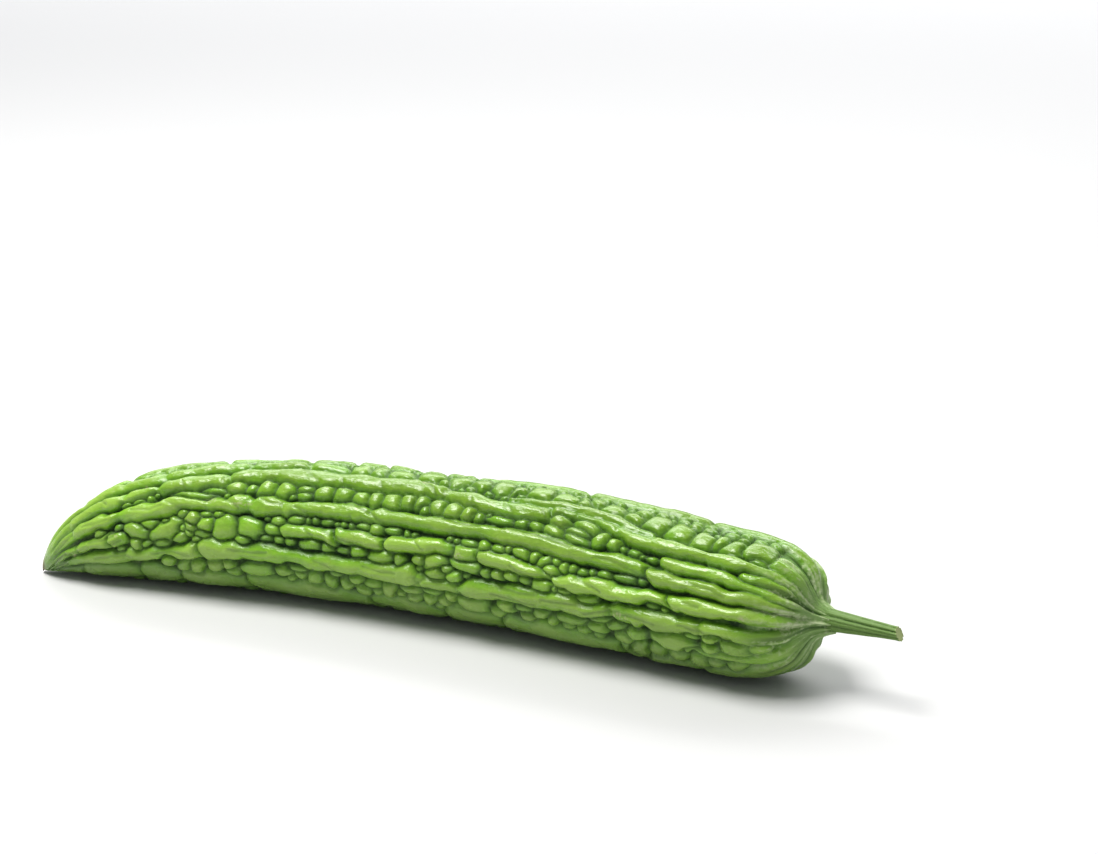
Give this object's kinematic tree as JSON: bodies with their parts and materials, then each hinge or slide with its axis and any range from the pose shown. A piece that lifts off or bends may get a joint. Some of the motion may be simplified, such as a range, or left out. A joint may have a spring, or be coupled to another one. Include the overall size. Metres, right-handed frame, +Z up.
{
  "type": "bitter gourd",
  "caption": "Long, slightly bent bitter gourd lying on its side, with lengthwise ridges, beaded bands between them and a cut, ribbed stem.",
  "frame": {"origin": "middle of the base of the part's bounding box, on the surface it lies on", "axes": "+X along the fruit from the blossom end to the stem, +Y towards the belly of its bend, +Z up"},
  "size_m": [0.3419, 0.0649, 0.0538],
  "materials": {
    "skin": "fresh waxy green skin with a soft gloss, lighter on the ridges and dark green in the creases",
    "stem": "dull, fibrous dark green stalk with a pale cut end"
  },
  "bodies": {
    "root": {"gourd_body": "skin", "stem": "stem"}
  },
  "joints": []
}
